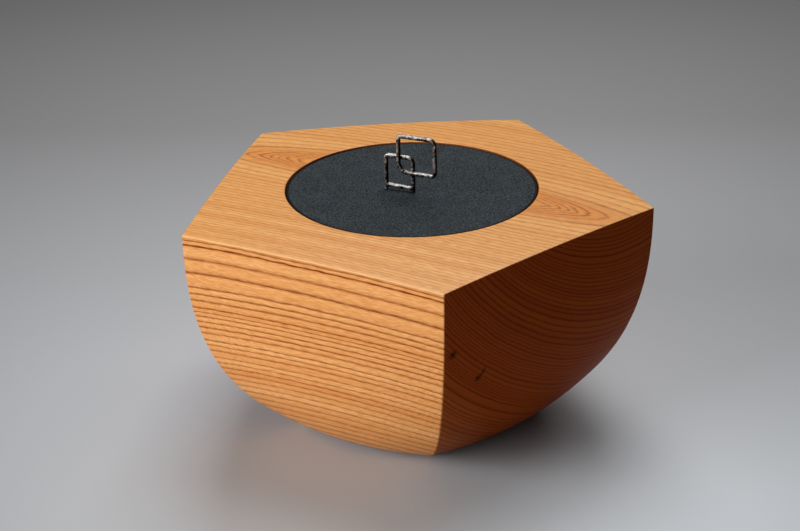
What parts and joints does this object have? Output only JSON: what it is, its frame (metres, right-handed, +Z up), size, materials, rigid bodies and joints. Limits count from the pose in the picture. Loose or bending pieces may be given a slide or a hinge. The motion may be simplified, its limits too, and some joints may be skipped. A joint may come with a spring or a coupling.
{
  "type": "lidded wooden water jar",
  "caption": "Five-sided carved wooden tea ceremony jar with a domed top, a round lacquered drop-in lid and a silver loop knob.",
  "frame": {"origin": "centre of the flat resting face under the jar", "axes": "+Z up; +X along the grain and the front side; +Y towards the back corner"},
  "size_m": [0.274, 0.2634, 0.1783],
  "materials": {
    "zelkova": "wiped lacquer, satin",
    "stone_lacquer": "matt granular black lacquer on a wooden board",
    "silver": "hammered and darkened silver"
  },
  "bodies": {
    "jar": {"vessel_body": "zelkova"},
    "lid": {"lid_board": "stone_lacquer", "knob_lower_ring": "silver", "knob_upper_ring": "silver", "knob_washers": "silver"}
  },
  "joints": [
    {"name": "lid_lift", "type": "slide", "parent": "jar", "child": "lid", "axis": [0, 0, 1], "range_m": [0, 0.12]}
  ]
}
